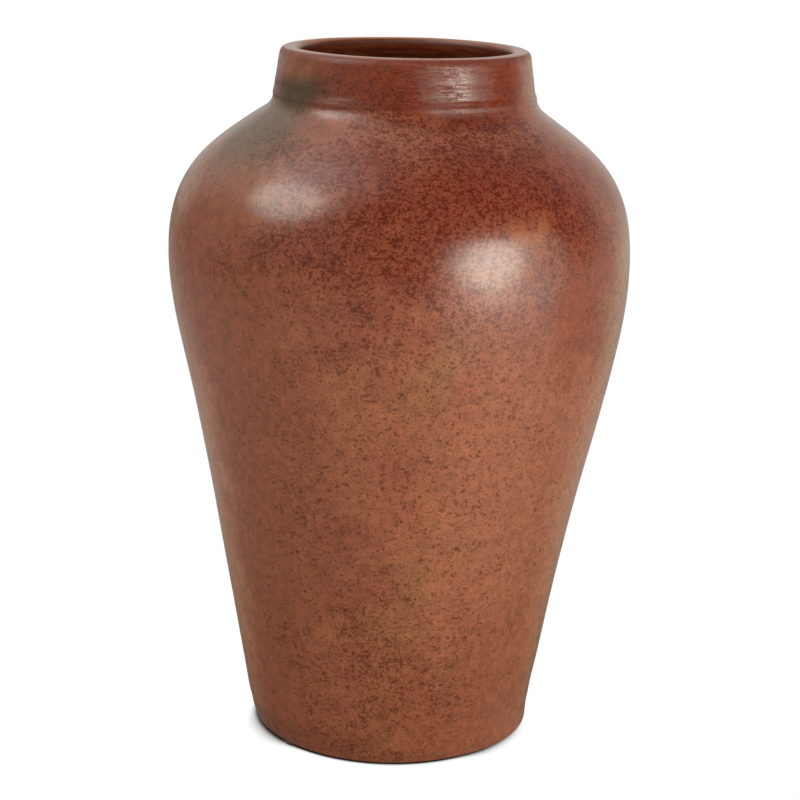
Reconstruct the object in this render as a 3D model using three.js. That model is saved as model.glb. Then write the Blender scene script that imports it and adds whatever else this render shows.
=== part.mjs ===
// A bulbous vase thrown in red clay: one fired vessel standing on four felt pads.
// Millimetres, +Z up. The origin is on the floor, on the vessel's axis. The front is -Y.
// Every outline is drawn as radius and height, and turned round that axis.

import * as THREE from 'three';

// Felt pads, stuck to the flat of the foot ring.
const padPlaces = ['front_right', 'rear_right', 'rear_left', 'front_left'];
const padRadius = 7;
const padThickness = 1.5;
const padEdge = 0.3; // bevel pressed into the rim of the underside
const padSides = 32;

// Foot: a turned ring round a shallow recess, with a rounded outer edge.
const footRadius = 95.4; // where the wall leaves the edge
const footEdge = 1.2;
const footRingWidth = 17; // flat of the ring
const footRecess = 4;

// Outside, from the clay's underside up.
const bellyRise = 320.5; // underside to widest ring
const bellyRadius = 151.2;
const shoulderRise = 104.4; // widest ring to the foot of the collar
const collarRadius = 84.5; // at its foot
const collarRise = 30.6; // its foot to the crown of the lip
const lipRadius = 80.9; // where the lip starts to round over

// Slopes and fullness of the thrown curves.
const wallFlare = THREE.MathUtils.degToRad(8.8); // outward from upright, at the foot
const shoulderSlope = THREE.MathUtils.degToRad(35); // above level, where it meets the collar's root
const wallLowerPull = 0.715; // curve handles, as shares of the belly's rise
const wallUpperPull = 0.168;
const shoulderLowerPull = 0.605; // as a share of the shoulder's rise to the root
const shoulderUpperPull = 0.675; // as a share of the shoulder's run inward
const rootRadius = 14; // hollow between shoulder and collar

// Lip.
const lipRise = 6.4;
const lipThickness = 12.6;
const crownInset = 8.6; // from the lip's outer start to its crown
const lipOuterFullness = 0.8; // curve handles, as shares of a quarter oval's height and width
const lipInnerFullness = 0.5523;

// Lines that the throwing rib left round the foot of the collar.
const lineCount = 2;
const lineStart = 1.8; // collar's foot to the first line
const lineWidth = 2.2;
const lineGap = 0.8;
const lineDepth = 0.35;

// Inside.
const wallThickness = 9.5;
const floorThickness = 12;
const floorFillet = 16;

// Fineness.
const turns = 60;
const fineSteps = { recess: 3, edge: 3, wall: 16, shoulder: 13, root: 4, collar: 3, lip: 5 };
const insideSteps = { collar: 3, root: 3, shoulder: 8, wall: 9, fillet: 4 };
const filletHalvings = 40;

// Heights and angles that follow from the sizes.
const underside = padThickness;
const bellyHeight = underside + bellyRise;
const collarFoot = bellyHeight + shoulderRise;
const crownHeight = collarFoot + collarRise;
const lipStart = crownHeight - lipRise;
const floorTop = underside + floorThickness;
const collarLean = Math.atan2(collarRadius - lipRadius, lipStart - collarFoot);

// The flat of the foot ring, which the pads stick to.
const ringOuter = footRadius - footEdge * Math.cos(wallFlare);
const ringInner = ringOuter - footRingWidth;
const padCircle = (ringOuter + ringInner) / 2;

const point = (radius, height) => new THREE.Vector2(radius, height);

function footEdgeCurve() {
  const centre = underside + footEdge;
  return new THREE.EllipseCurve(ringOuter, centre, footEdge, footEdge, -Math.PI / 2, -wallFlare);
}

function wallCurve() {
  const start = footEdgeCurve().getPoint(1);
  const end = point(bellyRadius, bellyHeight);
  const pull = wallLowerPull * bellyRise;
  const lower = point(start.x + pull * Math.sin(wallFlare), start.y + pull * Math.cos(wallFlare));
  const upper = point(end.x, end.y - wallUpperPull * bellyRise);
  return new THREE.CubicBezierCurve(start, lower, upper, end);
}

// The hollow arc that turns the shoulder's slope up into the collar's lean.
function rootCurve() {
  const x = collarRadius + rootRadius * Math.cos(collarLean);
  const y = collarFoot + rootRadius * Math.sin(collarLean);
  const from = 1.5 * Math.PI - shoulderSlope;
  const to = Math.PI + collarLean;
  return new THREE.EllipseCurve(x, y, rootRadius, rootRadius, from, to, true);
}

function shoulderCurve() {
  const start = point(bellyRadius, bellyHeight);
  const end = rootCurve().getPoint(0);
  const lower = point(start.x, start.y + shoulderLowerPull * (end.y - start.y));
  const pull = shoulderUpperPull * (start.x - end.x);
  const upper = point(end.x + pull * Math.cos(shoulderSlope), end.y - pull * Math.sin(shoulderSlope));
  return new THREE.CubicBezierCurve(start, lower, upper, end);
}

function collarCurve() {
  return new THREE.LineCurve(point(collarRadius, collarFoot), point(lipRadius, lipStart));
}

// Half of the lip: a rounded corner from one side, rising along its lean, to the crown.
function lipCurve(side, lean, fullness) {
  const crown = point(lipRadius - crownInset, crownHeight);
  const up = fullness * (crown.y - side.y);
  const beside = point(side.x - up * Math.tan(lean), side.y + up);
  const above = point(crown.x + fullness * (side.x - crown.x), crown.y);
  return new THREE.CubicBezierCurve(side, beside, above, crown);
}

// Points along a curve, without its last, which starts the next curve.
function along(curve, steps) {
  const points = [];
  for (let step = 0; step < steps; step += 1) {
    points.push(curve.getPoint(step / steps));
  }
  return points;
}

// The wall keeps one thickness to the shoulder's end, then thickens up to the lip.
function thicknessAt(height) {
  const root = rootCurve().getPoint(0).y;
  const share = THREE.MathUtils.smoothstep(height, root, lipStart);
  return THREE.MathUtils.lerp(wallThickness, lipThickness, share);
}

// The point inside the wall, square across from a point of an outside curve.
function insidePoint(curve, share) {
  const outer = curve.getPoint(share);
  const direction = curve.getTangent(share);
  const thickness = thicknessAt(outer.y);
  return point(outer.x - direction.y * thickness, outer.y + direction.x * thickness);
}

// Points of the wall's inside, from the curve's top down, without the last.
function insideAlong(curve, steps, lowest = 0) {
  const points = [];
  for (let step = 0; step < steps; step += 1) {
    const share = THREE.MathUtils.lerp(1, lowest, step / steps);
    points.push(insidePoint(curve, share));
  }
  return points;
}

// How far up the wall curve the floor's fillet ends, found by halving.
function filletShare(wall) {
  let low = 0;
  let high = 1;
  for (let halving = 0; halving < filletHalvings; halving += 1) {
    const middle = (low + high) / 2;
    const touch = floorTop + floorFillet * (1 - wall.getTangent(middle).x);
    if (insidePoint(wall, middle).y < touch) {
      low = middle;
    } else {
      high = middle;
    }
  }
  return high;
}

function filletCurve(wall, share) {
  const top = insidePoint(wall, share);
  const lean = Math.asin(wall.getTangent(share).x);
  const centre = point(top.x - floorFillet * Math.cos(lean), floorTop + floorFillet);
  return new THREE.EllipseCurve(centre.x, centre.y, floorFillet, floorFillet, -lean, -Math.PI / 2, true);
}

function footPoints() {
  const cove = new THREE.EllipseCurve(
    ringInner - footRecess, underside, footRecess, footRecess, Math.PI / 2, 0, true,
  );
  return [
    point(0, underside + footRecess),
    ...along(cove, fineSteps.recess),
    point(ringInner, underside),
  ];
}

// The collar's outside, with a shallow notch for each line.
function collarPoints() {
  const collar = collarCurve();
  const atHeight = (height) => collar.getPoint((height - collarFoot) / (lipStart - collarFoot));
  const points = [collar.getPoint(0)];
  for (let line = 0; line < lineCount; line += 1) {
    const start = collarFoot + lineStart + line * (lineWidth + lineGap);
    const bottom = atHeight(start + lineWidth / 2);
    bottom.x -= lineDepth;
    points.push(atHeight(start), bottom, atHeight(start + lineWidth));
  }
  const plain = new THREE.LineCurve(points.at(-1), collar.getPoint(1));
  return [...points.slice(0, -1), ...along(plain, fineSteps.collar)];
}

function lipPoints() {
  const collar = collarCurve();
  const outer = lipCurve(collar.getPoint(1), collarLean, lipOuterFullness);
  const inner = lipCurve(insidePoint(collar, 1), collarLean, lipInnerFullness);
  const down = along(inner, fineSteps.lip).reverse();
  return [...along(outer, fineSteps.lip), inner.getPoint(1), ...down.slice(0, -1)];
}

function insidePoints() {
  const wall = wallCurve();
  const share = filletShare(wall);
  const fillet = filletCurve(wall, share);
  return [
    ...insideAlong(collarCurve(), insideSteps.collar),
    ...insideAlong(rootCurve(), insideSteps.root),
    ...insideAlong(shoulderCurve(), insideSteps.shoulder),
    ...insideAlong(wall, insideSteps.wall, share),
    ...along(fillet, insideSteps.fillet),
    fillet.getPoint(1),
    point(0, floorTop),
  ];
}

function vesselGeometry() {
  const outline = [
    ...footPoints(),
    ...along(footEdgeCurve(), fineSteps.edge),
    ...along(wallCurve(), fineSteps.wall),
    ...along(shoulderCurve(), fineSteps.shoulder),
    ...along(rootCurve(), fineSteps.root),
    ...collarPoints(),
    ...lipPoints(),
    ...insidePoints(),
  ];
  return new THREE.LatheGeometry(outline, turns).rotateX(Math.PI / 2);
}

function padGeometry() {
  const outline = [
    point(0, 0),
    point(padRadius - padEdge, 0),
    point(padRadius, padEdge),
    point(padRadius, padThickness),
    point(0, padThickness),
  ];
  return new THREE.LatheGeometry(outline, padSides).rotateX(Math.PI / 2);
}

const clay = new THREE.MeshStandardMaterial({ color: 0x8f5540, roughness: 0.42, metalness: 0 });
const felt = new THREE.MeshStandardMaterial({ color: 0x2c2825, roughness: 0.96, metalness: 0 });

function makeVessel() {
  const vessel = new THREE.Mesh(vesselGeometry(), clay);
  vessel.name = 'vase_body';
  return vessel;
}

function makePad(place, index) {
  const angle = ((index - 0.5) / padPlaces.length) * 2 * Math.PI;
  const pad = new THREE.Mesh(padGeometry(), felt);
  pad.name = `felt_pad_${place}`;
  pad.position.set(padCircle * Math.cos(angle), padCircle * Math.sin(angle), 0);
  return pad;
}

const vase = new THREE.Group();
vase.name = 'bulbous_vase';
vase.add(makeVessel());
padPlaces.forEach((place, index) => vase.add(makePad(place, index)));

export default vase;
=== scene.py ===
"""A burnished red-clay vase on four felt pads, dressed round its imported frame.

Metres, +Z up, the front is -Y. Azimuths are degrees from the front, positive to the right.
"""

import math

import bpy
import numpy as np
from mathutils import Matrix, Vector


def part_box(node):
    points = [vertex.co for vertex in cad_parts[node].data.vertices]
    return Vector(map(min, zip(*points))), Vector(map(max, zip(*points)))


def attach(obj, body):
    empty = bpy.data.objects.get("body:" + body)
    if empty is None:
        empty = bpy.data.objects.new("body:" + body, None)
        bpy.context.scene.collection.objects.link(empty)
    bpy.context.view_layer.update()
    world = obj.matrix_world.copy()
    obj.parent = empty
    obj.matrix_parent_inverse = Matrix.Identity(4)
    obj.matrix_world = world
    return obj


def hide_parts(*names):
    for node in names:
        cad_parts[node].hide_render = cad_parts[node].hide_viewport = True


MM = 0.001

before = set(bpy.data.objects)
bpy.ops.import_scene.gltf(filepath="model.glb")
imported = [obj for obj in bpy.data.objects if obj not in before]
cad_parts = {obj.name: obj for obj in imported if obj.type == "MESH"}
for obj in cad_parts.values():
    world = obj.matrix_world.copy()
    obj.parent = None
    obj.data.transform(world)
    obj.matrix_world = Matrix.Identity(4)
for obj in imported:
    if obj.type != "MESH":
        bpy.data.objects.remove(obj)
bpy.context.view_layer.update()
vessel_low, vessel_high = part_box("vase_body")
underside = vessel_low.z
crown = vessel_high.z

# Fineness of the vessel's mesh: segments round it, steps along its outline, and how far from the underside
# and the crown the fine steps reach
SEGMENTS = 288
FOOT_STEP = 0.4 * MM
WALL_STEP = 1.5 * MM
COLLAR_STEP = 0.3 * MM
INSIDE_STEP = 4 * MM
NECK_STEP = 0.6 * MM
FINE_FOOT = 6 * MM
FINE_COLLAR = 45 * MM
FINE_NECK = 60 * MM
SHARP_CORNER = math.radians(50)
OUTLINE_PASSES = 3
# Coordinates nearer to each other than this are the same
TINY = 1e-6


# Camera

LENS = 89.18
SENSOR = 36.0
NEAREST = 0.05
FARTHEST = 50
CAMERA_SIDE = 3.0 * MM
CAMERA_BACK = 1.2806
CAMERA_HEIGHT = 0.5727
CAMERA_PITCH = math.radians(15.284)
CAMERA_ROLL = math.radians(1.637)


def make_camera():
    data = bpy.data.cameras.new("camera")
    data.lens = LENS
    data.sensor_width = SENSOR
    data.clip_start = NEAREST
    data.clip_end = FARTHEST
    camera = bpy.data.objects.new("camera", data)
    bpy.context.scene.collection.objects.link(camera)
    place = Matrix.Translation((CAMERA_SIDE, -CAMERA_BACK, CAMERA_HEIGHT))
    pitch = Matrix.Rotation(math.pi / 2 - CAMERA_PITCH, 4, "X")
    roll = Matrix.Rotation(CAMERA_ROLL, 4, "Z")
    camera.matrix_world = place @ pitch @ roll
    bpy.context.scene.camera = camera


# The vessel's outline, read from the frame


def turned_outline(node):
    """Radius and height along the line that a turned node was made from, from end to end on the axis."""
    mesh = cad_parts[node].data
    key = [(round(v.co.x, 6), round(v.co.z, 6)) for v in mesh.vertices]
    on_plane = [abs(v.co.y) < TINY and v.co.x > -TINY for v in mesh.vertices]
    neighbours = {}
    for edge in mesh.edges:
        a, b = edge.vertices
        if on_plane[a] and on_plane[b] and key[a] != key[b]:
            neighbours.setdefault(key[a], set()).add(key[b])
            neighbours.setdefault(key[b], set()).add(key[a])
    here = min((k for k in neighbours if k[0] < TINY), key=lambda k: k[1])
    line = [here]
    while True:
        onward = [k for k in neighbours[here] if k not in line]
        if not onward:
            return np.array(line)
        here = onward[0]
        line.append(here)


def step_at(height, inside):
    """How far apart the fine outline's points lie, by where they are."""
    if height < underside + FINE_FOOT:
        return FOOT_STEP
    if inside:
        return NECK_STEP if height > crown - FINE_NECK else INSIDE_STEP
    return COLLAR_STEP if height > crown - FINE_COLLAR else WALL_STEP


def smooth_line(points, top):
    """A smooth line through the points, stepped as step_at says, with its sharp corners kept."""
    steps = np.diff(points, axis=0)
    lengths = np.linalg.norm(steps, axis=1)
    directions = steps / lengths[:, None]
    turn = np.einsum("ij,ij->i", directions[:-1], directions[1:])
    corner = np.concatenate([[True], turn < math.cos(SHARP_CORNER), [True]])
    weight = lengths[:, None]
    weighted = directions * weight
    blended = (weighted[:-1] + weighted[1:]) / (weight[:-1] + weight[1:])
    middle = np.vstack([directions[:1], blended, directions[-1:]])
    line = []
    for i, length in enumerate(lengths):
        start = directions[i] if corner[i] else middle[i]
        end = directions[i] if corner[i + 1] else middle[i + 1]
        step = step_at((points[i, 1] + points[i + 1, 1]) / 2, i >= top)
        count = max(1, math.ceil(length / step))
        t = (np.arange(count) / count)[:, None]
        h00 = 2 * t**3 - 3 * t**2 + 1
        h10 = t**3 - 2 * t**2 + t
        h01 = -2 * t**3 + 3 * t**2
        h11 = t**3 - t**2
        along = h00 * points[i] + h10 * length * start
        line.append(along + h01 * points[i + 1] + h11 * length * end)
    return np.vstack(line + [points[-1:]])


def soften(line, passes):
    """Rounds the line's corners a little. Its ends stay."""
    line = line.copy()
    for _ in range(passes):
        line[1:-1] = (line[:-2] + 2 * line[1:-1] + line[2:]) / 4
    return line


# The vessel's hand-made form

# How far its axis wanders to the right, and how much slimmer it is than the frame's solid, by height
WANDER_HEIGHTS = np.array([0, 0.025, 0.115, 0.230, 0.345, 0.457])
WANDER = np.array([1.45, 0.8, 0.4, 1.8, -0.4, 0.3]) * MM
SLIM_HEIGHTS = np.array([0, 0.006, 0.012, 0.022, 0.040, 0.240, 0.322, 0.400, 0.457])
SLIM = np.array([0.9, 1.5, 1.5, 1.0, 1.0, 0.9, 0.6, 0.2, 0.1]) * MM
# The foot, which spread a little on one side, with a dip above. A focus says how closely a form keeps to its
# heading, and the foot's wall is what lies outside a radius
FOOT_SPREAD = 0.6 * MM
FOOT_HEADING = math.radians(66)
FOOT_FOCUS = 6
SPREAD_RISE = 3 * MM
SPREAD_REACH = 5 * MM
DIP_HEIGHT = 28 * MM
DIP_REACH = 11 * MM
FOOT_WALL = 0.08
# The foot's lower edge, turned in: further at one heading and spared at another, with the radii over which
# the turning sets in and the heights over which it ends
FOOT_TURN = 1.2 * MM
TURN_HEADING = math.radians(28)
TURN_FOCUS = 12
SPARED_HEADING = math.radians(74)
SPARED_FOCUS = 7
TURN_RADII = (91.5 * MM, 94.2 * MM)
TURN_HEIGHTS = (underside + 1 * MM, underside + 8 * MM)
# The rim, which settled, and dropped on the left
RIM_SETTLE = 0.25 * MM
RIM_DROP = 0.6 * MM
RIM_REACH = 45 * MM
# Lumps, and the rings and streaks of throwing: their heights and widths, how many segments a streak runs for,
# and how much the rings come and go
LUMP = 0.14 * MM
LUMP_WAVES = (1, 2, 2, 3, 3, 4, 5, 7)
LUMP_LENGTHS = (0.07, 0.30)
COLLAR_RING = 0.05 * MM
WALL_RING = 0.02 * MM
COARSE_RING = 1.5 * WALL_RING
FINE_RINGS = ((0.6, 1.1 * MM), (0.7, 3.2 * MM))
COARSE_WIDTH = 7 * MM
COLLAR_STREAK = 0.04 * MM
WALL_STREAK = 0.012 * MM
STREAKS = ((1.2 * MM, 9), (2.4 * MM, 16))
RING_MEAN = 0.65
RING_SWING = 0.35
RING_SWING_RATE = 6
# Random steps in a ring's width, steps drawn past the line's end, and the steps the smoothing spreads over
STEPS_ACROSS = 4
SPARE_STEPS = 40
SMOOTHING = 2.5
SMOOTHING_HALF = 8
# Where lumps and rings set in above the foot, and the band of the collar's own rings and streaks
CALM_FOOT = (underside + 3 * MM, underside + 14 * MM)
COLLAR_BAND = ((crown - 33 * MM, crown - 24 * MM), (crown - 9 * MM, crown - 3 * MM))
CLAY_SEED = 14
# The spiral left by the fingers inside
INSIDE_RING = 0.45 * MM
INSIDE_PITCH = 9 * MM
INSIDE_SWAY = 0.8
INSIDE_RISE = (underside + 16 * MM, underside + 40 * MM)
INSIDE_END = (crown - 22 * MM, crown - 6 * MM)
# The lines drawn round the collar's foot, how they break up, and where the frame's even ones are worn away
TOOL_LINES = crown - np.array([31.0, 28.2, 25.4]) * MM
TOOL_WIDTH = 0.55 * MM
TOOL_DEPTH = 0.07 * MM
TOOL_HEADING = math.radians(29)
TOOL_FOCUS = 13
TOOL_LIGHTEST = 0.12
TOOL_BREAKS = (3 * MM, 7)
TOOL_MEAN = 0.8
TOOL_SWING = 0.8
TOOL_LIMITS = (0.1, 1.5)
WORN_BAND = ((crown - 36 * MM, crown - 31 * MM), (crown - 22 * MM, crown - 17 * MM))
WORN_PASSES = 60
# The low ring above the collar's root, and the root, fuller on the side to which the collar leans back
ROOT_RIDGE = 0.50 * MM
RIDGE_HEIGHT = crown - 30 * MM
RIDGE_ABOVE = 6.5 * MM
RIDGE_BELOW = 2.4 * MM
ROOT_SWELL = 0.75 * MM
ROOT_HEIGHT = crown - 35 * MM
ROOT_REACH = 5.0 * MM
ROOT_HEADING = math.radians(62)
# Below the crown: where the clay is bare, worn and dull, with how much lower bare and worn clay start inside
# at the sides, and the height of the bare edge under the foot
BARE_START = 0.8 * MM
BARE_BELOW = 4.0 * MM
BARE_SIDES = 1.6 * MM
WORN_DEPTHS = (0.2 * MM, 1.2 * MM)
WORN_SIDES = (1.2 * MM, 2.2 * MM)
DULL_BAND = ((0.4 * MM, 1.4 * MM), (3 * MM, 5.5 * MM))
BARE_FOOT = 1.2 * MM


def eased(value, low, high):
    """0 below low, 1 above high, and smooth between them."""
    t = np.clip((value - low) / (high - low), 0, 1)
    return t * t * (3 - 2 * t)


def eased_between(height, heights, values):
    """The value at each height, easing from one named height to the next."""
    spans = np.clip(np.searchsorted(heights, height) - 1, 0, len(values) - 2)
    share = eased(height, heights[spans], heights[spans + 1])
    return values[spans] * (1 - share) + values[spans + 1] * share


def band(value, rise, fall):
    """1 over a band, eased in over the first pair of values and out over the second."""
    return eased(value, *rise) * (1 - eased(value, *fall))


def bell(value, middle, reach):
    """1 at the middle, falling away smoothly on both sides."""
    return np.exp(-0.5 * ((value - middle) / reach) ** 2)


def facing(azimuth, heading, focus):
    """1 at the heading, falling away round the vessel, the faster the greater the focus."""
    return np.exp(focus * (np.cos(azimuth - heading) - 1))


def azimuths(segments=SEGMENTS):
    return 2 * math.pi * np.arange(segments) / segments


def lumps(random, along, azimuth):
    """Slow unevenness of a hand-made wall, between about -1 and 1."""
    total = np.zeros((len(along), len(azimuth)))
    for waves in LUMP_WAVES:
        length = random.uniform(*LUMP_LENGTHS)
        phase = random.uniform(0, 2 * math.pi)
        total += np.cos(waves * azimuth[None, :] + 2 * math.pi * along[:, None] / length + phase)
    return total / 4


def steps_along(along, width):
    """The length of the random steps for rings of a width, and how many of them the line takes."""
    step = width / STEPS_ACROSS
    return step, int((along[-1] - along[0]) / step) + SPARE_STEPS


def smoothed(values):
    """Random steps, smoothed over their neighbours and as strong as before."""
    kernel = bell(np.arange(-SMOOTHING_HALF, SMOOTHING_HALF + 1), 0, SMOOTHING)
    return np.convolve(values, kernel / math.sqrt((kernel**2).sum()), mode="same")


def ring_noise(random, along, width):
    """Uneven rings of about the given width, between about -1 and 1."""
    step, count = steps_along(along, width)
    values = smoothed(random.standard_normal(count))
    return np.interp(along, along[0] + step * np.arange(count), values) / 2


def streaks(random, along, width, run):
    """Uneven marks that run round for about the given number of segments, between about -1 and 1."""
    step, count = steps_along(along, width)
    values = random.standard_normal((count, SEGMENTS))
    values = np.apply_along_axis(smoothed, 0, values)
    waves = np.fft.rfftfreq(SEGMENTS) * run
    kept = bell(2 * math.pi * waves, 0, SMOOTHING)
    values = np.fft.irfft(np.fft.rfft(values, axis=1) * kept, SEGMENTS, axis=1)
    values /= values.std()
    place = (along - along[0]) / step
    low = np.floor(place).astype(int)
    share = (place - low)[:, None]
    return (values[low] * (1 - share) + values[low + 1] * share) / 2


def tool_marks(random, along, height, azimuth):
    """The tooled lines, clear where the tool pressed hardest and worn away elsewhere."""
    press = TOOL_LIGHTEST + (1 - TOOL_LIGHTEST) * facing(azimuth, TOOL_HEADING, TOOL_FOCUS)
    broken = TOOL_MEAN + TOOL_SWING * streaks(random, along, *TOOL_BREAKS)
    lines = bell(height[:, None], TOOL_LINES[None, :], TOOL_WIDTH).sum(axis=1)
    return lines[:, None] * press[None, :] * np.clip(broken, *TOOL_LIMITS)


def root_ridge(height):
    """The low ring that the tool left standing where the collar begins."""
    risen = eased(height, RIDGE_HEIGHT - RIDGE_BELOW, RIDGE_HEIGHT)
    fallen = eased(height, RIDGE_HEIGHT, RIDGE_HEIGHT + RIDGE_ABOVE)
    return ROOT_RIDGE * (risen - fallen)[:, None]


def root_swell(height, azimuth):
    """The collar's root, fuller on one side and leaner opposite."""
    swell = bell(height, ROOT_HEIGHT, ROOT_REACH)
    return ROOT_SWELL * swell[:, None] * np.cos(azimuth - ROOT_HEADING)[None, :]


def foot_spread(height, azimuth):
    """How far the foot stands out where it spread before firing, with the dip above it."""
    side = facing(azimuth, FOOT_HEADING, FOOT_FOCUS)
    above = height - underside
    out = bell(above, 0, SPREAD_REACH) * eased(height, underside, underside + SPREAD_RISE)
    dip = bell(above, DIP_HEIGHT, DIP_REACH)
    return FOOT_SPREAD * (out - dip)[:, None] * side[None, :]


def foot_turn(line, azimuth):
    """How far the foot's lower edge is turned in."""
    edge = eased(line[:, 0], *TURN_RADII) * (1 - eased(line[:, 1], *TURN_HEIGHTS))
    further = facing(azimuth, TURN_HEADING, TURN_FOCUS)
    spared = facing(azimuth, SPARED_HEADING, SPARED_FOCUS)
    return FOOT_TURN * edge[:, None] * ((1 + further) * (1 - spared))[None, :]


def vessel_relief(line, outside, azimuth):
    """How far each point of the vessel's grid stands out of the smooth surface, outward positive."""
    random = np.random.default_rng(CLAY_SEED)
    along = np.concatenate([[0], np.cumsum(np.linalg.norm(np.diff(line, axis=0), axis=1))])
    height = line[:, 1]
    foot = eased(height, *CALM_FOOT)
    collar = band(height, *COLLAR_BAND)
    fine = sum(share * ring_noise(random, along, width) for share, width in FINE_RINGS)
    coarse = ring_noise(random, along, COARSE_WIDTH)
    patchy = RING_MEAN + RING_SWING * lumps(random, along * RING_SWING_RATE, azimuth)
    relief = LUMP * lumps(random, along, azimuth) * foot[:, None]
    ringed = np.where(outside, WALL_RING * foot + COLLAR_RING * collar, 0.0)
    relief += (ringed * fine)[:, None] * patchy
    relief += (np.where(outside, COARSE_RING * foot, 0.0) * coarse)[:, None]
    streaked = np.where(outside, WALL_STREAK * foot + COLLAR_STREAK * collar, 0.0)[:, None]
    relief += streaked * sum(streaks(random, along, width, run) for width, run in STREAKS)
    outer = outside[:, None]
    relief -= TOOL_DEPTH * np.where(outer, tool_marks(random, along, height, azimuth), 0.0)
    relief += np.where(outer, root_swell(height, azimuth) + root_ridge(height), 0.0)
    foot_wall = outer & (line[:, 0] > FOOT_WALL)[:, None]
    relief += np.where(foot_wall, foot_spread(height, azimuth), 0.0)
    spiral = along[:, None] / INSIDE_PITCH * 2 * math.pi + azimuth[None, :]
    deep = np.where(outside, 0.0, INSIDE_RING * (1 - eased(height, *INSIDE_END)))
    deep = deep * eased(height, *INSIDE_RISE)
    relief += deep[:, None] * np.sin(spiral + INSIDE_SWAY * lumps(random, along, azimuth))
    return relief


def outward_normals(line):
    direction = np.gradient(line, axis=0)
    direction /= np.linalg.norm(direction, axis=1)[:, None]
    return np.stack([direction[:, 1], -direction[:, 0]], axis=1)


def turned_mesh(name, radius, height, shift):
    """A closed mesh from grids of radius and height, a row for each point of a line that ends on the axis."""
    rows, segments = radius.shape
    azimuth = azimuths(segments)
    x = radius * np.sin(azimuth) + shift[:, None]
    y = -radius * np.cos(azimuth)
    ring = np.stack([x, y, height], axis=2)[1:-1].reshape(-1, 3)
    ends = [(shift[0], 0, height[0].mean()), (shift[-1], 0, height[-1].mean())]
    index = np.arange((rows - 2) * segments).reshape(rows - 2, segments)
    right = np.roll(index, -1, axis=1)
    quads = np.stack([index[:-1], right[:-1], right[1:], index[1:]], axis=2).reshape(-1, 4)
    first = len(ring)
    last = first + 1
    fans = [(first, int(b), int(a)) for a, b in zip(index[0], right[0])]
    fans += [(last, int(a), int(b)) for a, b in zip(index[-1], right[-1])]
    mesh = bpy.data.meshes.new(name)
    mesh.from_pydata(np.vstack([ring, ends]).tolist(), [], quads.tolist() + fans)
    mesh.validate()
    mesh.polygons.foreach_set("use_smooth", np.ones(len(mesh.polygons), bool))
    mesh.update()
    return mesh


def add_piece(name, mesh, *materials):
    piece = bpy.data.objects.new(name, mesh)
    bpy.context.scene.collection.objects.link(piece)
    for material in materials:
        piece.data.materials.append(material)
    return piece


def worn_lines(line, top):
    """The outline with the frame's two even lines at the collar's foot worn away."""
    share = band(line[:, 1], *WORN_BAND)
    share = np.where(np.arange(len(line)) <= top, share, 0.0)[:, None]
    return line * (1 - share) + soften(line, WORN_PASSES) * share


def store(mesh, name, values):
    """Keeps a row of values for each point of the outline on its mesh, for the material to read."""
    attribute = mesh.attributes.new(name, "FLOAT", "POINT")
    grid = np.broadcast_to(values, (len(values), SEGMENTS))
    flat = np.concatenate([grid[1:-1].ravel(), grid[[0, -1], 0]])
    attribute.data.foreach_set("value", flat.astype(np.float32))


def line_inside(mesh, inner):
    """Gives the second material to the faces past the outline's first inner point."""
    rows = np.repeat(inner[1:-2], SEGMENTS)
    ends = np.repeat([False, True], SEGMENTS)
    mesh.polygons.foreach_set("material_index", np.concatenate([rows, ends]).astype(np.int32))


def vessel_grids(line, outside, azimuth):
    """Radius and height of each point of the vessel's grid, and how far each of its rings is shifted."""
    level = line[:, 1]
    relief = vessel_relief(line, outside, azimuth)
    normal = outward_normals(line)
    slim = np.minimum(eased_between(level, SLIM_HEIGHTS, SLIM), line[:, 0])
    radius = (line[:, 0] - slim)[:, None] + normal[:, 0][:, None] * relief
    radius = radius - foot_turn(line, azimuth)
    drop = RIM_SETTLE + RIM_DROP / 2 * (1 - np.sin(azimuth))
    height = level[:, None] + normal[:, 1][:, None] * relief
    height = height - eased(level, crown - RIM_REACH, crown)[:, None] * drop
    return radius, height, eased_between(level, WANDER_HEIGHTS, WANDER)


def store_wear(mesh, line, outside, azimuth):
    """Where the clay is bare, as inside and under the foot, and where the lip is worn and dull."""
    below = (crown - line[:, 1])[:, None]
    outer = outside[:, None]
    inner = ~outer * (np.abs(np.sin(azimuth)) ** 3)[None, :]
    under = 1 - eased(line[:, 1], underside, underside + BARE_FOOT)[:, None]
    bare = eased(below, BARE_START + inner * BARE_SIDES, BARE_BELOW)
    start, end = (depth + inner * side for depth, side in zip(WORN_DEPTHS, WORN_SIDES))
    store(mesh, "bare", np.where(outer, under, bare))
    store(mesh, "worn", 1 - eased(below, start, end))
    store(mesh, "dull", np.where(outer, band(below, *DULL_BAND), 0.0))


def make_vessel(burnished, unburnished):
    points = turned_outline("vase_body")
    line = soften(smooth_line(points, int(np.argmax(points[:, 1]))), OUTLINE_PASSES)
    top = int(np.argmax(line[:, 1]))
    line = worn_lines(line, top)
    outside = np.arange(len(line)) <= top
    azimuth = azimuths()
    mesh = turned_mesh("clay_vessel", *vessel_grids(line, outside, azimuth))
    store_wear(mesh, line, outside, azimuth)
    line_inside(mesh, ~outside & (crown - line[:, 1] > BARE_BELOW))
    vessel = add_piece("clay_vessel", mesh, burnished, unburnished)
    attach(vessel, "root")
    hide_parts("vase_body")


# Materials


def linear(red, green, blue):
    """A colour written as on a screen, 0 to 255, as the renderer reads it."""
    parts = [c / 255 for c in (red, green, blue)]
    parts = [c / 12.92 if c <= 0.04045 else ((c + 0.055) / 1.055) ** 2.4 for c in parts]
    return (*parts, 1.0)


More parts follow.
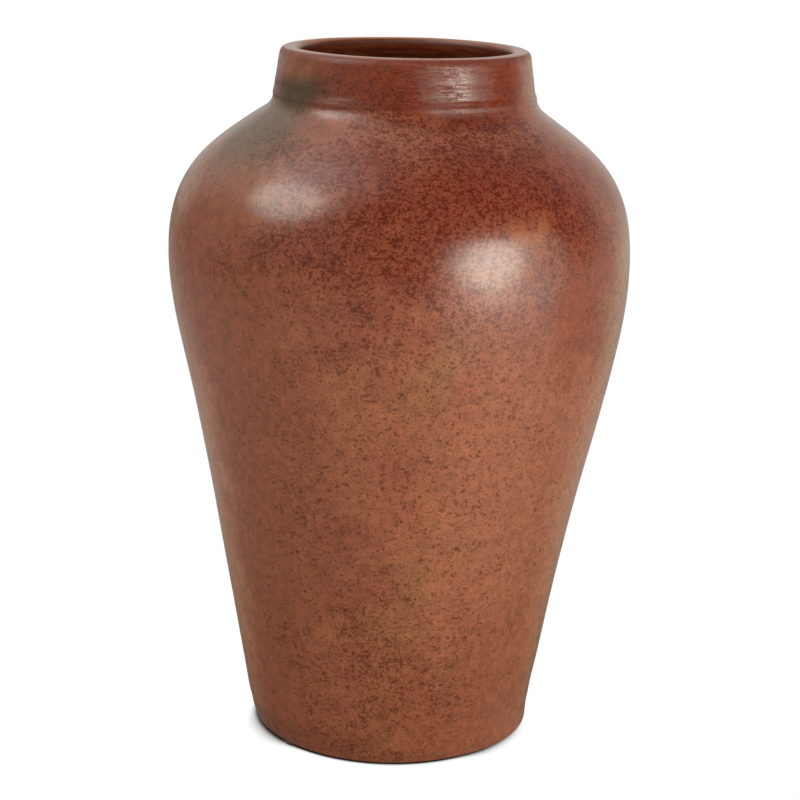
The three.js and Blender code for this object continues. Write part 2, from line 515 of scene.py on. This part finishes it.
class Nodes:
    """A short way to write a node tree."""

    def __init__(self, tree):
        self.tree = tree
        tree.nodes.clear()

    def add(self, kind, inputs=(), **settings):
        node = self.tree.nodes.new(kind)
        for name, value in settings.items():
            setattr(node, name, value)
        for name, value in dict(inputs).items():
            self.feed(node.inputs[name], value)
        return node

    def feed(self, socket, value):
        if isinstance(value, bpy.types.NodeSocket):
            self.tree.links.new(value, socket)
        else:
            socket.default_value = value

    def math(self, operation, a, b=0.0, c=0.0):
        return self.add("ShaderNodeMath", {0: a, 1: b, 2: c}, operation=operation).outputs[0]

    def smooth(self, value, low, high, to_low=0.0, to_high=1.0):
        inputs = {
            "Value": value, "From Min": low, "From Max": high, "To Min": to_low, "To Max": to_high,
        }
        return self.add("ShaderNodeMapRange", inputs, interpolation_type="SMOOTHSTEP").outputs[0]

    def noise(self, vector, scale, detail=2.0, roughness=0.5, distortion=0.0):
        inputs = {
            "Vector": vector, "Scale": scale, "Detail": detail, "Roughness": roughness,
            "Distortion": distortion,
        }
        return self.add("ShaderNodeTexNoise", inputs).outputs[0]

    def mixed(self, factor, a, b, **settings):
        node = self.add("ShaderNodeMix", **settings)
        self.feed(node.inputs["Factor"], factor)
        self.feed(node.inputs["A"], a)
        self.feed(node.inputs["B"], b)
        return node.outputs["Result"]

    def mix(self, factor, a, b, blend="MIX"):
        return self.mixed(factor, a, b, data_type="RGBA", blend_type=blend)

    def blend(self, factor, a, b):
        return self.mixed(factor, a, b, data_type="FLOAT")

    def stretched(self, vector, up):
        """The vector with its height multiplied, so that a noise on it lies flatter or stands taller."""
        inputs = {0: vector, 1: (1, 1, up)}
        return self.add("ShaderNodeVectorMath", inputs, operation="MULTIPLY").outputs[0]

    def grey(self, value):
        return self.add("ShaderNodeCombineXYZ", {0: value, 1: value, 2: value}).outputs[0]

    def kept(self, name):
        """The values that the mesh keeps under a name."""
        settings = {"attribute_name": name, "attribute_type": "GEOMETRY"}
        return self.add("ShaderNodeAttribute", **settings).outputs["Fac"]

    def direction(self, place):
        return self.add("ShaderNodeVectorMath", {0: place}, operation="NORMALIZE").outputs[0]

    def distance(self, place):
        return self.add("ShaderNodeVectorMath", {0: place}, operation="LENGTH").outputs["Value"]

    def part(self, vector, axis):
        return self.add("ShaderNodeSeparateXYZ", {0: vector}).outputs[axis]


class Field(Nodes):
    """A node tree for a turned surface, with masks placed by azimuth in degrees and height."""

    def __init__(self, tree):
        super().__init__(tree)
        self.place = self.add("ShaderNodeTexCoord").outputs["Object"]
        split = self.add("ShaderNodeSeparateXYZ", {0: self.place}).outputs
        self.height = split["Z"]
        radians = self.math("ARCTAN2", split["X"], self.math("MULTIPLY", split["Y"], -1.0))
        self.azimuth = self.math("DEGREES", radians)
        uneven = self.math("SUBTRACT", self.noise(self.place, WAVER_SCALE, 5, 0.6), 0.5)
        self.waver = self.math("MULTIPLY", uneven, WAVER)

    def patch(self, azimuth, height, half_angle, half_height, soft=1.0):
        """A soft-edged oval on the wall: 1 inside, 0 outside, its edge broken by noise."""
        turned = self.math("WRAP", self.math("SUBTRACT", self.azimuth, azimuth), 180.0, -180.0)
        across = self.math("DIVIDE", turned, half_angle)
        up = self.math("DIVIDE", self.math("SUBTRACT", self.height, height), half_height)
        squares = self.math("MULTIPLY_ADD", across, across, self.math("MULTIPLY", up, up))
        reach = self.math("ADD", self.math("SQRT", squares), self.waver)
        return self.smooth(reach, 1 - soft / 2, 1 + soft / 2, 1.0, 0.0)


# Fired clay

WALL = linear(157, 94, 61)
WALL_DEEP = linear(147, 81, 56)
WALL_OLIVE = linear(140, 92, 59)
FOOT = linear(146, 82, 52)
COLLAR = linear(119, 50, 27)
BARE = linear(86, 29, 6)
BARE_LINE = linear(112, 54, 28)
WORN = linear(188, 129, 96)
WORN_SHARE = 0.75
# What the speckle multiplies the clay by, and where it lies thick
SPECK_TINT = (0.47, 0.34, 0.19, 1)
THICK_TINT = (0.50, 0.25, 0.12, 1)

# Clouds over the clay, some where the firing changed it and some painted shade, painted light, painted
# highlight and painted sheen, as noted: colour, share, azimuth, height, half angle, half height and softness
CLOUDS = {
    "left_shade": (linear(143, 78, 51), 0.80, -42, 0.200, 26, 0.210, 1.2),
    # Painted light: the lower left edge lightened as if lit by light bounced from the floor
    "left_glow": (linear(184, 124, 84), 0.85, -79, 0.168, 19, 0.200, 1.2),
    "left_russet": (linear(138, 76, 51), 0.85, -49, 0.335, 25, 0.055, 1.2),
    "right_shade": (linear(146, 85, 57), 0.80, 42, 0.180, 17, 0.185, 1.2),
    # Painted light: the lower right edge lightened
    "right_glow": (linear(164, 110, 75), 0.75, 77, 0.180, 17, 0.230, 1.2),
    "foot_russet": (linear(132, 69, 43), 0.60, 26, 0.050, 30, 0.055, 1.2),
    # Painted contact shade: the lowest band of the foot darkened where it meets the floor
    "foot_contact_shade": (linear(116, 64, 40), 0.40, -34, 0.000, 58, 0.019, 1.0),
    "shoulder_tan": (linear(154, 99, 75), 0.85, -26, 0.392, 36, 0.030, 1.1),
    "upper_rose": (linear(156, 93, 73), 0.80, 8, 0.412, 62, 0.012, 1.0),
    "collar_base": (linear(125, 60, 41), 0.85, 28, 0.4200, 36, 0.0055, 0.9),
    "front_red": (linear(130, 61, 42), 0.95, 26, 0.384, 46, 0.024, 1.1),
    "front_russet": (linear(131, 65, 44), 0.90, -4, 0.350, 24, 0.042, 1.1),
    "right_russet": (linear(123, 56, 36), 0.95, 51, 0.328, 16, 0.050, 1.1),
    "right_upper": (linear(120, 68, 46), 0.60, 69, 0.362, 12, 0.022, 1.1),
    # Painted highlight: the belly lightened at the left end of the right lamp's highlight
    "belly_glow": (linear(170, 108, 82), 0.40, 17, 0.328, 8, 0.018, 1.2),
    # Painted shade: the right of the belly darkened below the right lamp's highlight
    "right_belly_shade": (linear(131, 70, 46), 0.90, 51, 0.308, 15, 0.036, 1.2),
    "front_glow": (linear(164, 99, 69), 0.35, 20, 0.165, 15, 0.085, 1.2),
    "front_shade": (linear(136, 74, 51), 0.50, -12, 0.155, 10, 0.040, 1.2),
    "left_olive": (linear(113, 84, 53), 0.90, -68, 0.409, 30, 0.021, 1.0),
    # Painted sheen: the left edge lightened and greyed where the waxed clay mirrors the white floor at a
    # grazing angle
    "left_edge_sheen": (linear(160, 116, 84), 0.80, -84, 0.370, 14, 0.040, 1.0),
    # Painted sheen: the right edge lightened and greyed where the waxed clay mirrors the white floor at a
    # grazing angle
    "right_edge_sheen": (linear(150, 116, 90), 0.85, 80, 0.306, 16, 0.050, 1.1),
    "back_russet": (linear(132, 64, 42), 0.80, 150, 0.340, 38, 0.070, 1.2),
    "back_olive": (linear(126, 88, 60), 0.50, -135, 0.270, 34, 0.080, 1.2),
}
COLLAR_CLOUDS = {
    "collar_smoke": (linear(80, 60, 36), 0.95, -55, 0.4325, 21, 0.0115, 1.0),
    # Painted sheen: the collar's left edge lightened where it mirrors the bright room at a grazing angle
    "collar_left": (linear(152, 98, 66), 0.85, -80, 0.4470, 37, 0.0095, 1.0),
    "collar_rose": (linear(121, 65, 45), 0.70, -30, 0.427, 14, 0.007, 1.0),
    "collar_front": (linear(118, 47, 24), 0.80, 26, 0.436, 24, 0.018, 1.0),
    # Painted sheen: the collar's right edge lightened and greyed where it mirrors the bright room at a
    # grazing angle
    "collar_right": (linear(150, 107, 80), 0.80, 82, 0.441, 20, 0.030, 1.0),
    "collar_back": (linear(126, 78, 52), 0.70, 165, 0.440, 50, 0.020, 1.0),
    "drip": (linear(56, 26, 16), 0.85, 52, 0.4525, 0.8, 0.0032, 0.8),
}
# How high the foot's colour reaches, and where the collar's sets in and is full
FOOT_COLOUR_END = 85 * MM
COLLAR_START = crown - 36 * MM
COLLAR_FULL = crown - 29 * MM

# How thickly the speckle lies: share added, azimuth, height, half angle, half height and softness
SPECKLED = {
    "front": (0.57, 8, 0.190, 54, 0.210, 1.2),
    "upper_front": (0.52, 14, 0.374, 58, 0.046, 1.2),
    "shoulder": (0.62, -2, 0.400, 50, 0.022, 1.2),
    "belly": (0.25, -4, 0.340, 34, 0.045, 1.2),
    "foot": (0.25, -10, 0.050, 44, 0.050, 1.2),
    "collar": (0.50, 10, 0.438, 56, 0.018, 1.2),
    "back": (0.45, 165, 0.300, 60, 0.150, 1.2),
    "back_left": (0.30, -140, 0.240, 40, 0.150, 1.2),
}
SPARSE = 0.06
# Where it is dark red, how much its density lifts the noises and sharpens their clumps, and the levels of the
# noises between which a spot and a fleck come up
THICK_AREA = (16, 0.372, 56, 0.052, 1.4)
DENSITY_LIFT = 0.155
CLUMPS = 0.07
DENSE_CLUMPS = 0.16
SPOT_EDGE = (0.635, 0.725)
FLECK_EDGE = (0.65, 0.75)
FLECK_SHARE = 0.8
SPECK_SHARE = 0.92

# Roughness of the waxed clay, of the dry clay, and what specks, unevenness and the lip's dull band add
WAXED = 0.175
WAX_IOR = 1.55
DRY_CLAY = 0.9
DRY_SPECULAR = 0.12
SPECK_ROUGHNESS = 0.05
UNEVEN_ROUGHNESS = 0.06
DULL_ROUGHNESS = 0.28
# What the collar's matt streaks take and add, where they lie and the heights over which they set in
MATT_ROUGHNESS = (-0.05, 0.34)
STREAKED_AREA = (15, 0.438, 24, 0.035, 1.2)
STREAKED_FROM = (crown - 33 * MM, crown - 27 * MM)
# Places where the wax is thinner or thicker: roughness added, azimuth, height, half angle and half height
WAX_PATCHES = {
    "collar_left_of_front": (0.19, 14, 0.436, 9, 0.018),
    "collar_front": (0.04, 19, 0.436, 8, 0.020),
    "collar_right": (-0.05, 34, 0.438, 12, 0.030),
    "root_right": (0.24, 38, 0.4245, 24, 0.0040),
    "root_left": (0.16, -20, 0.4180, 9, 0.0040),
}

# Scales of the noises on the clay, from broad to fine, and how far masks waver at their edges
DRIFT_SCALE = 21
WAVER_SCALE = 26
WAVER = 1.9
MOTTLE_SCALE = 34
THROWING_SCALE = 45
MARK_SCALE = 90
CLUSTER_SCALE = 110
MATT_SCALE = 130
BRUSH_SCALE = 150
FINE_MOTTLE_SCALE = 170
WAX_SCALE = 240
SPECK_SCALE = 380
FLECK_SCALE = 760
GRAIN_SCALE = 900
WAXED_BUMP = 0.05 * MM
DRY_BUMP = 0.1 * MM


def cloud_over(field, colour, clouds):
    for tint, share, *where in clouds.values():
        mask = field.math("MULTIPLY", field.patch(*where), share)
        colour = field.mix(mask, colour, tint)
    return colour


def clay_colour(field):
    """The clay without its speckle: tan below, clouded with russet and smoke above, with painted shade,
    painted light, painted highlight and painted sheen on its sides and edges.
    """
    mottle = field.noise(field.place, MOTTLE_SCALE, 5, 0.62)
    colour = field.mix(field.smooth(mottle, 0.34, 0.66), WALL_DEEP, WALL)
    drift = field.noise(field.stretched(field.place, 0.55), DRIFT_SCALE, 4, 0.55)
    colour = field.mix(field.smooth(drift, 0.48, 0.68, 0.0, 0.6), colour, WALL_OLIVE)
    colour = field.mix(field.smooth(field.height, 0.0, FOOT_COLOUR_END, 0.8, 0.0), colour, FOOT)
    colour = cloud_over(field, colour, CLOUDS)
    edge = field.math("ADD", field.height, field.math("MULTIPLY", field.waver, 4 * MM))
    colour = field.mix(field.smooth(edge, COLLAR_START, COLLAR_FULL), colour, COLLAR)
    return cloud_over(field, colour, COLLAR_CLOUDS)


def speckle(field):
    """Soft dark spots, thick on the upper front, where they run together, and thin at the sides."""
    density = SPARSE
    for share, *where in SPECKLED.values():
        density = field.math("MULTIPLY_ADD", field.patch(*where), share, density)
    density = field.math("MINIMUM", density, 1.0)
    stretched = field.stretched(field.place, 1.2)
    cluster = field.math("SUBTRACT", field.noise(field.place, CLUSTER_SCALE, 3, 0.6), 0.5)
    clumps = field.math("MULTIPLY_ADD", density, DENSE_CLUMPS, CLUMPS)
    level = field.math("MULTIPLY_ADD", density, DENSITY_LIFT, field.math("MULTIPLY", cluster, clumps))
    spots = field.math("ADD", field.noise(stretched, SPECK_SCALE, 4, 0.62, 0.3), level)
    flecks = field.math("ADD", field.noise(stretched, FLECK_SCALE, 2, 0.5), level)
    flecks = field.smooth(flecks, *FLECK_EDGE, 0.0, FLECK_SHARE)
    return field.math("MAXIMUM", field.smooth(spots, *SPOT_EDGE), flecks)


def clay_relief(field, specks, collar):
    """Burnish marks that run round the wall, strongest on the collar, with fine grain and pits."""
    marks = field.noise(field.stretched(field.place, 9), MARK_SCALE, 5, 0.7)
    brushed = field.noise(field.stretched(field.place, 6), BRUSH_SCALE, 3, 0.6)
    grain = field.noise(field.place, GRAIN_SCALE, 3, 0.65)
    height = field.math("MULTIPLY", marks, field.math("MULTIPLY_ADD", collar, 1.4, 0.25))
    height = field.math("MULTIPLY_ADD", brushed, field.math("MULTIPLY", collar, 1.6), height)
    height = field.math("MULTIPLY_ADD", grain, field.math("MULTIPLY_ADD", collar, 0.5, 0.5), height)
    height = field.math("SUBTRACT", height, field.math("MULTIPLY", specks, 0.3))
    bump = {"Height": height, "Strength": 1.0, "Distance": WAXED_BUMP}
    return field.add("ShaderNodeBump", bump).outputs[0]


def clay_roughness(field, specks, dull, bare):
    """Waxed on the wall, drier on the specks, in the collar's streaks and below the crown, and dry inside."""
    rough = field.math("MULTIPLY_ADD", specks, SPECK_ROUGHNESS, WAXED)
    uneven = field.noise(field.place, WAX_SCALE, 3)
    rough = field.math("MULTIPLY_ADD", uneven, UNEVEN_ROUGHNESS, rough)
    matt = field.noise(field.stretched(field.place, 7), MATT_SCALE, 4, 0.7)
    matt = field.smooth(matt, 0.46, 0.60, *MATT_ROUGHNESS)
    above = field.smooth(field.height, *STREAKED_FROM)
    streaked = field.math("MULTIPLY", above, field.patch(*STREAKED_AREA))
    rough = field.math("MULTIPLY_ADD", streaked, matt, rough)
    for more, *where in WAX_PATCHES.values():
        rough = field.math("MULTIPLY_ADD", field.patch(*where), more, rough)
    rough = field.math("MULTIPLY_ADD", dull, DULL_ROUGHNESS, rough)
    return field.blend(bare, rough, DRY_CLAY)


def clay_material():
    material = bpy.data.materials.new("burnished_clay")
    material.use_nodes = True
    field = Field(material.node_tree)
    bare = field.kept("bare")
    collar = field.smooth(field.height, COLLAR_START - 6 * MM, COLLAR_START)
    specks = field.math("MULTIPLY", speckle(field), field.math("SUBTRACT", 1.0, bare))
    tint = field.mix(field.patch(*THICK_AREA), SPECK_TINT, THICK_TINT)
    share = field.math("MULTIPLY", specks, SPECK_SHARE)
    colour = field.mix(share, clay_colour(field), tint, "MULTIPLY")
    grain = field.smooth(field.noise(field.place, GRAIN_SCALE, 2), 0.3, 0.7, 0.88, 1.08)
    mottle = field.noise(field.place, FINE_MOTTLE_SCALE, 3, 0.6)
    grain = field.math("MULTIPLY", grain, field.smooth(mottle, 0.3, 0.7, 0.84, 1.14))
    colour = field.mix(1.0, colour, field.grey(grain), "MULTIPLY")
    colour = field.mix(field.math("MULTIPLY", field.kept("worn"), WORN_SHARE), colour, WORN)
    colour = field.mix(bare, colour, BARE)
    shader = field.add("ShaderNodeBsdfPrincipled", {
        "Base Color": colour, "Roughness": clay_roughness(field, specks, field.kept("dull"), bare),
        "IOR": WAX_IOR, "Normal": clay_relief(field, specks, collar),
    })
    field.add("ShaderNodeOutputMaterial", {"Surface": shader.outputs[0]})
    return material


def bare_clay_material():
    """The dry, unburnished clay inside, with the faint colour of its throwing lines."""
    material = bpy.data.materials.new("bare_clay")
    material.use_nodes = True
    nodes = Nodes(material.node_tree)
    place = nodes.add("ShaderNodeTexCoord").outputs["Object"]
    lines = nodes.noise(nodes.stretched(place, 8), THROWING_SCALE, 4, 0.6)
    colour = nodes.mix(nodes.smooth(lines, 0.42, 0.68), BARE, BARE_LINE)
    grain = nodes.noise(place, GRAIN_SCALE, 3, 0.65)
    bump = nodes.add("ShaderNodeBump", {"Height": grain, "Strength": 1.0, "Distance": DRY_BUMP})
    shader = nodes.add("ShaderNodeBsdfPrincipled", {
        "Base Color": colour, "Roughness": DRY_CLAY, "Specular IOR Level": DRY_SPECULAR,
        "Normal": bump.outputs[0],
    })
    nodes.add("ShaderNodeOutputMaterial", {"Surface": shader.outputs[0]})
    return material


# Felt pads

PAD_TURNS = 96
PAD_EDGE = 0.4 * MM
PAD_FRAY = 0.18 * MM
PAD_FLUFF = 0.05 * MM
TOP_FLUFF = 0.3
FRAY_WIDTH = 0.09
FRAY_MEAN = 0.6
FRAY_SWING = 0.5
FRAY_START = 0.6
PAD_STEPS = 24
EDGE_STEPS = 6
FELT_SEED = 4
FELT_DARK = linear(30, 27, 25)
FELT_LIGHT = linear(66, 60, 56)
FIBRE_SCALE = 2600
FIBRE_BUMP = 0.3 * MM


def pad_line(radius, low, high):
    """Half a felt disc's outline, from the middle of its underside to the middle of its top."""
    across = np.linspace(0, radius - PAD_EDGE, PAD_STEPS)
    turn = np.linspace(0, math.pi / 2, EDGE_STEPS)
    lower_x = radius - PAD_EDGE + PAD_EDGE * np.sin(turn)
    lower_z = low + PAD_EDGE * (1 - np.cos(turn))
    side_z = np.linspace(low + PAD_EDGE, high - PAD_EDGE / 2, EDGE_STEPS)[1:-1]
    upper_x = radius - PAD_EDGE / 2 * (1 - np.cos(turn))
    upper_z = high - PAD_EDGE / 2 * (1 - np.sin(turn))
    x = [across, lower_x[1:], np.full(len(side_z), radius), upper_x, across[::-1]]
    z = [np.full(PAD_STEPS, low), lower_z[1:], side_z, upper_z, np.full(PAD_STEPS, high)]
    return np.stack([np.concatenate(x), np.concatenate(z)], axis=1)


def make_pad(node, material, random):
    """A die-cut felt disc, a little frayed and fluffed, where the frame's plain disc is."""
    low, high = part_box(node)
    middle = (low + high) / 2
    line = pad_line((high.x - low.x) / 2, low.z, high.z)
    edge = ring_noise(random, np.linspace(0, 1, PAD_TURNS + 1), FRAY_WIDTH)[:-1]
    edge = np.clip(FRAY_MEAN + FRAY_SWING * edge, 0, 1)
    rim = eased(line[:, 0], line[:, 0].max() * FRAY_START, line[:, 0].max())
    radius = line[:, 0][:, None] - rim[:, None] * PAD_FRAY * edge
    inward = np.where(line[:, 1] < middle.z, 1.0, -TOP_FLUFF)
    fluff = PAD_FLUFF * random.random((len(line), PAD_TURNS))
    height = line[:, 1][:, None] + inward[:, None] * fluff
    name = node.replace("felt_pad", "felt_disc")
    mesh = turned_mesh(name, radius, height, np.zeros(len(line)))
    mesh.transform(Matrix.Translation((middle.x, middle.y, 0)))
    disc = add_piece(name, mesh, material)
    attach(disc, "root")
    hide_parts(node)


def felt_material():
    material = bpy.data.materials.new("pressed_felt")
    material.use_nodes = True
    nodes = Nodes(material.node_tree)
    place = nodes.add("ShaderNodeTexCoord").outputs["Object"]
    fibres = nodes.noise(place, FIBRE_SCALE, 4, 0.7, 1.5)
    colour = nodes.mix(nodes.smooth(fibres, 0.35, 0.7), FELT_DARK, FELT_LIGHT)
    bump = nodes.add("ShaderNodeBump", {"Height": fibres, "Strength": 0.6, "Distance": FIBRE_BUMP})
    shader = nodes.add("ShaderNodeBsdfPrincipled", {
        "Base Color": colour, "Roughness": 0.95, "Sheen Weight": 0.4, "Normal": bump.outputs[0],
    })
    nodes.add("ShaderNodeOutputMaterial", {"Surface": shader.outputs[0]})
    return material


# Stage

WHITE = (1, 1, 1, 1)
FLOOR_HALF = 6.0
FLOOR_ALBEDO = 0.85
AMBIENT = 0.45

# The shadow kept on the floor round the foot: the radius where it starts, and where it ends in front and at
# the sides. It is narrow within an angle of the front's heading, and again beyond a depth towards the back.
SHADOW_START = 90 * MM
SHADOW_FRONT = 93.8 * MM
SHADOW_LEFT = 104 * MM
SHADOW_RIGHT = 100.5 * MM
SHADOW_BACK = (-50 * MM, 8 * MM)
FRONT_HEADING = -4
FRONT_ANGLES = (30, 50)
LEFT_TO_RIGHT = (-0.4, 0.4)
# Painted shadow: the floor under the foot, in the gap the pads leave, darkened by the same rule
GAP_SHADE_START = 90.2 * MM
GAP_SHADE_FRONT = 93 * MM
GAP_SHADE_LEFT = 96 * MM
GAP_SHADE_RIGHT = 96.5 * MM
GAP_SHADE_ALBEDO = 0.04

# What the waxed clay mirrors, as plain strengths. The floor: near, further off, and far to the left and
# right, with the distances over which one passes into the next
NEAR_FLOOR = 0.12
MIDDLE_FLOOR = 0.33
LEFT_FLOOR = 0.20
RIGHT_FLOOR = 0.50
NEAR_REACH = (0.12, 0.55)
FAR_REACH = (0.9, 2.5)
FAR_SIDES = (-0.5, 0.5)
# The pool of light that the right lamp throws on the floor: full within the first angle of its heading and
# gone by the second, brighter further off, and fading beyond
POOL_HEADING = 50
POOL_ANGLES = (12, 36)
POOL_NEAR = 0.10
POOL_FAR = 1.35
POOL_RISE = (0.2, 1.4)
POOL_FADE = (1.8, 3.6)
POOL_END = 0.3
# The room: dark in front and dim behind, with the Y of the directions between which it passes
FRONT_ROOM = 0.03
BACK_ROOM = 0.20
ROOM_TURN = (-0.1, 0.4)
# Broad glows: azimuth, elevation, the angles within which each is full and by which it is gone, and strength
GLOWS = {
    "back_right": (145, 5, 12, 40, 0.30),
    "back_left": (-154, 24, 14, 38, 0.26),
    "back_horizon": (180, 8, 6, 26, 0.25),
    "ceiling_left": (-124, 56, 16, 44, 0.27),
    "beside_left_lamp": (-104, 58, 5, 20, 1.2),
    "above_left_lamp": (-66, 64, 6, 26, 0.8),
    "room_left": (-65, 5, 28, 58, 0.28),
}


def heading_of(azimuth, elevation=0.0):
    """The direction of an azimuth and elevation, both in degrees."""
    a = math.radians(azimuth)
    e = math.radians(elevation)
    return Vector((math.sin(a) * math.cos(e), -math.cos(a) * math.cos(e), math.sin(e)))


def seen_rays(nodes):
    """1 for rays that show the background: from the camera, in gloss and through glass."""
    path = nodes.add("ShaderNodeLightPath").outputs
    seen = nodes.math("MAXIMUM", path["Is Camera Ray"], path["Is Glossy Ray"])
    return nodes.math("MAXIMUM", seen, path["Is Transmission Ray"]), path["Is Glossy Ray"]


def toward(nodes, heading, azimuth, elevation, full, gone):
    """1 where a direction is within an angle of the named one, fading to 0 at a wider angle."""
    named = heading_of(azimuth, elevation)
    both = {0: heading, 1: named}
    cosine = nodes.add("ShaderNodeVectorMath", both, operation="DOT_PRODUCT").outputs["Value"]
    return nodes.smooth(cosine, math.cos(math.radians(gone)), math.cos(math.radians(full)))


def floor_gloss(nodes, place):
    """How bright each place of the floor looks in the waxed clay."""
    away = nodes.distance(place)
    heading = nodes.direction(place)
    near = nodes.smooth(away, *NEAR_REACH, NEAR_FLOOR, MIDDLE_FLOOR)
    far = nodes.smooth(nodes.part(heading, "X"), *FAR_SIDES, LEFT_FLOOR, RIGHT_FLOOR)
    base = nodes.blend(nodes.smooth(away, *FAR_REACH), near, far)
    risen = nodes.smooth(away, *POOL_RISE, POOL_NEAR, POOL_FAR)
    pool = nodes.math("MULTIPLY", risen, toward(nodes, heading, POOL_HEADING, 0, *POOL_ANGLES))
    return nodes.math("MULTIPLY_ADD", pool, nodes.smooth(away, *POOL_FADE, 1.0, POOL_END), base)


def sweep_material():
    """White to the camera, duller in gloss, with the real shadow kept close round the foot and a painted
    shadow darkening the floor under it.
    """
    material = bpy.data.materials.new("white_sweep")
    material.use_nodes = True
    nodes = Nodes(material.node_tree)
    place = nodes.add("ShaderNodeTexCoord").outputs["Object"]
    away = nodes.distance(place)
    heading = nodes.direction(place)
    seen, glossy = seen_rays(nodes)
    front = toward(nodes, heading, FRONT_HEADING, 0, *FRONT_ANGLES)
    side = nodes.smooth(nodes.part(heading, "X"), *LEFT_TO_RIGHT)
    narrow = nodes.math("MAXIMUM", front, nodes.smooth(nodes.part(place, "Y"), *SHADOW_BACK))
    gap_shade_end = nodes.blend(narrow, nodes.blend(side, GAP_SHADE_LEFT, GAP_SHADE_RIGHT), GAP_SHADE_FRONT)
    # Painted shadow: the floor's albedo darkened under the foot, deepening its real shade
    albedo = nodes.smooth(away, GAP_SHADE_START, gap_shade_end, GAP_SHADE_ALBEDO, FLOOR_ALBEDO)
    lit = nodes.add("ShaderNodeBsdfDiffuse", {"Color": nodes.grey(albedo)})
    strength = nodes.blend(glossy, 1.0, floor_gloss(nodes, place))
    white = nodes.add("ShaderNodeEmission", {"Color": WHITE, "Strength": strength})
    end = nodes.blend(narrow, nodes.blend(side, SHADOW_LEFT, SHADOW_RIGHT), SHADOW_FRONT)
    clear = nodes.smooth(away, SHADOW_START, end)
    plain = nodes.math("MULTIPLY", nodes.math("MAXIMUM", clear, glossy), seen)
    both = nodes.add("ShaderNodeMixShader", {0: plain, 1: lit.outputs[0], 2: white.outputs[0]})
    nodes.add("ShaderNodeOutputMaterial", {"Surface": both.outputs[0]})
    return material


def make_floor():
    corners = [(-1, -1), (1, -1), (1, 1), (-1, 1)]
    mesh = bpy.data.meshes.new("floor")
    mesh.from_pydata([(x * FLOOR_HALF, y * FLOOR_HALF, 0) for x, y in corners], [], [(0, 1, 2, 3)])
    floor = bpy.data.objects.new("floor", mesh)
    bpy.context.scene.collection.objects.link(floor)
    floor.data.materials.append(sweep_material())


def make_world():
    """Even light from a white backdrop, which the waxed clay mirrors as a dim room with broad glows."""
    world = bpy.data.worlds.new("studio")
    bpy.context.scene.world = world
    world.use_nodes = True
    nodes = Nodes(world.node_tree)
    heading = nodes.add("ShaderNodeTexCoord").outputs["Generated"]
    gloss = nodes.smooth(nodes.part(heading, "Y"), *ROOM_TURN, FRONT_ROOM, BACK_ROOM)
    for *where, strength in GLOWS.values():
        glow = nodes.math("MULTIPLY", toward(nodes, heading, *where), strength)
        gloss = nodes.math("ADD", gloss, glow)
    seen, glossy = seen_rays(nodes)
    strength = nodes.blend(glossy, 1.0, gloss)
    dim = nodes.add("ShaderNodeBackground", {"Color": WHITE, "Strength": AMBIENT})
    white = nodes.add("ShaderNodeBackground", {"Color": WHITE, "Strength": strength})
    both = nodes.add("ShaderNodeMixShader", {0: seen, 1: dim.outputs[0], 2: white.outputs[0]})
    nodes.add("ShaderNodeOutputWorld", {"Surface": both.outputs[0]})


# Lamps: azimuth, elevation, distance, how wide and high they look from the vase in degrees, and radiance

LAMPS = {
    "right_softbox": (42.3, 5.9, 1.5, 34, 24.5, 8.4),
    "right_spill": (60, 2, 1.6, 50, 36, 1.4),
    "left_softbox": (-70, 41, 1.5, 36, 31, 4.3),
}
LAMP_COLOUR = (0.96, 0.97, 0.87)
LAMP_AIM = Vector((0, 0, 0.35))


def softbox(name, azimuth, elevation, distance, wide, high, radiance):
    """A soft oval lamp, aimed at the middle of the vase."""
    away = heading_of(azimuth, elevation)
    data = bpy.data.lights.new(name, "AREA")
    data.shape = "ELLIPSE"
    data.size = 2 * distance * math.tan(math.radians(wide / 2))
    data.size_y = 2 * distance * math.tan(math.radians(high / 2))
    data.energy = radiance * math.pi * data.size * data.size_y * math.pi / 4
    data.color = LAMP_COLOUR
    lamp = bpy.data.objects.new(name, data)
    bpy.context.scene.collection.objects.link(lamp)
    lamp.location = LAMP_AIM + away * distance
    lamp.rotation_mode = "QUATERNION"
    lamp.rotation_quaternion = away.to_track_quat("Z", "Y")
    lamp.visible_camera = False


def main():
    bpy.context.scene.view_settings.view_transform = "Standard"
    make_camera()
    make_floor()
    make_world()
    for name, lamp in LAMPS.items():
        softbox(name, *lamp)
    make_vessel(clay_material(), bare_clay_material())
    felt = felt_material()
    random = np.random.default_rng(FELT_SEED)
    for node in sorted(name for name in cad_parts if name.startswith("felt_pad")):
        make_pad(node, felt, random)


main()
